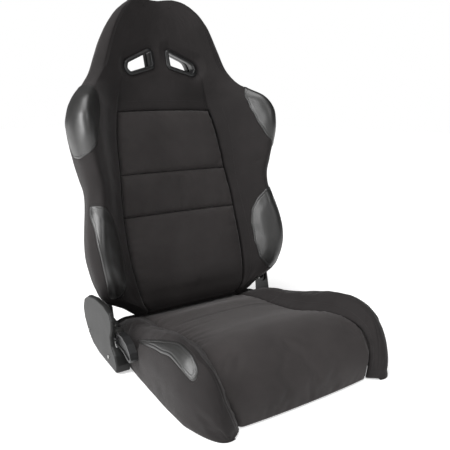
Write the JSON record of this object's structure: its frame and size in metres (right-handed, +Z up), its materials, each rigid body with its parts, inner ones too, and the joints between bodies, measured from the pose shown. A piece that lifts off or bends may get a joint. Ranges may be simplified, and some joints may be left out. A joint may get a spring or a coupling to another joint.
{
  "type": "reclining sport seat",
  "caption": "High-back reclining sport seat with side bolsters, vinyl wear patches, harness pass-throughs and a side release lever.",
  "frame": {"origin": "centre of the four floor bolts, on the floor face", "axes": "+Z up, the seat faces -Y, +X is the occupant's left"},
  "size_m": [0.595, 0.7801, 0.8969],
  "materials": {
    "black_steel": "satin black powder coat",
    "zinc_steel": "bright zinc plate",
    "bronze": "plain sintered bronze",
    "rubber": "matt",
    "insert_fabric": "fine-knit charcoal cloth",
    "bolster_fabric": "black velour cloth",
    "vinyl": "grained vinyl, semi-gloss",
    "black_plastic": "moulded satin black",
    "cover_plastic": "moulded satin dark grey"
  },
  "bodies": {
    "base": {"base_bolster_left": "bolster_fabric", "base_bolster_right": "bolster_fabric", "base_centre_pad": "insert_fabric", "base_strap_clips": "zinc_steel", "base_suspension_straps": "rubber", "base_wear_patch_left": "vinyl", "base_wear_patch_right": "vinyl", "cover_posts": "zinc_steel", "cover_screws": "zinc_steel", "floor_mount_strap_left": "black_steel", "floor_mount_strap_right": "black_steel", "floor_weld_nuts": "zinc_steel", "front_cross_tube": "black_steel", "lever_return_spring": "zinc_steel", "lever_stud": "zinc_steel", "pawl_pin": "zinc_steel", "pivot_bolt_left": "zinc_steel", "pivot_bolt_right": "zinc_steel", "pivot_cap_right": "black_plastic", "pivot_nuts": "zinc_steel", "pivot_plate_right": "black_steel", "rail_bolts": "zinc_steel", "rail_nuts": "zinc_steel", "rear_cross_tube": "black_steel", "recliner_clock_spring": "zinc_steel", "recliner_cover": "cover_plastic", "recliner_lower_bracket": "black_steel", "side_rail_left": "black_steel", "side_rail_right": "black_steel"},
    "backrest": {"back_bolster_left": "bolster_fabric", "back_bolster_right": "bolster_fabric", "back_chest_pad": "insert_fabric", "back_frame_hoop": "black_steel", "back_head_pad": "bolster_fabric", "back_lower_bar": "black_steel", "back_lumbar_pad": "insert_fabric", "back_middle_pad": "insert_fabric", "back_rear_panel": "cover_plastic", "back_strap_clips": "zinc_steel", "back_suspension_straps": "rubber", "back_upper_bar": "black_steel", "harness_bezel_front_left": "black_plastic", "harness_bezel_front_right": "black_plastic", "harness_bezel_rear_left": "black_plastic", "harness_bezel_rear_right": "black_plastic", "lumbar_wear_patch_left": "vinyl", "lumbar_wear_patch_right": "vinyl", "pivot_arm_right": "black_steel", "pivot_bushings": "bronze", "recliner_upper_arm": "black_steel", "shoulder_wear_patch_left": "vinyl", "shoulder_wear_patch_right": "vinyl"},
    "release_lever": {"release_lever": "zinc_steel", "release_lever_grip": "black_plastic"},
    "pawl": {"recliner_pawl": "zinc_steel"}
  },
  "joints": [
    {"name": "backrest_recline", "type": "hinge", "parent": "base", "child": "backrest", "pos_m": [0, 0.235, 0.092], "axis": [1, 0, 0], "range_deg": [-50, 40]},
    {"name": "lever_release", "type": "hinge", "parent": "base", "child": "release_lever", "pos_m": [-0.2566, 0.15, 0.06], "axis": [1, 0, 0], "range_deg": [-25, 0], "stiffness_Nm_per_rad": 2, "springref_deg": 20.05},
    {"name": "pawl_turn", "type": "hinge", "parent": "base", "child": "pawl", "pos_m": [-0.2523, 0.222, 0.04], "axis": [1, 0, 0], "range_deg": [0, 6]}
  ],
  "couplings": [
    {"joint": "pawl_turn", "follows": "lever_release", "ratio": -0.22}
  ]
}
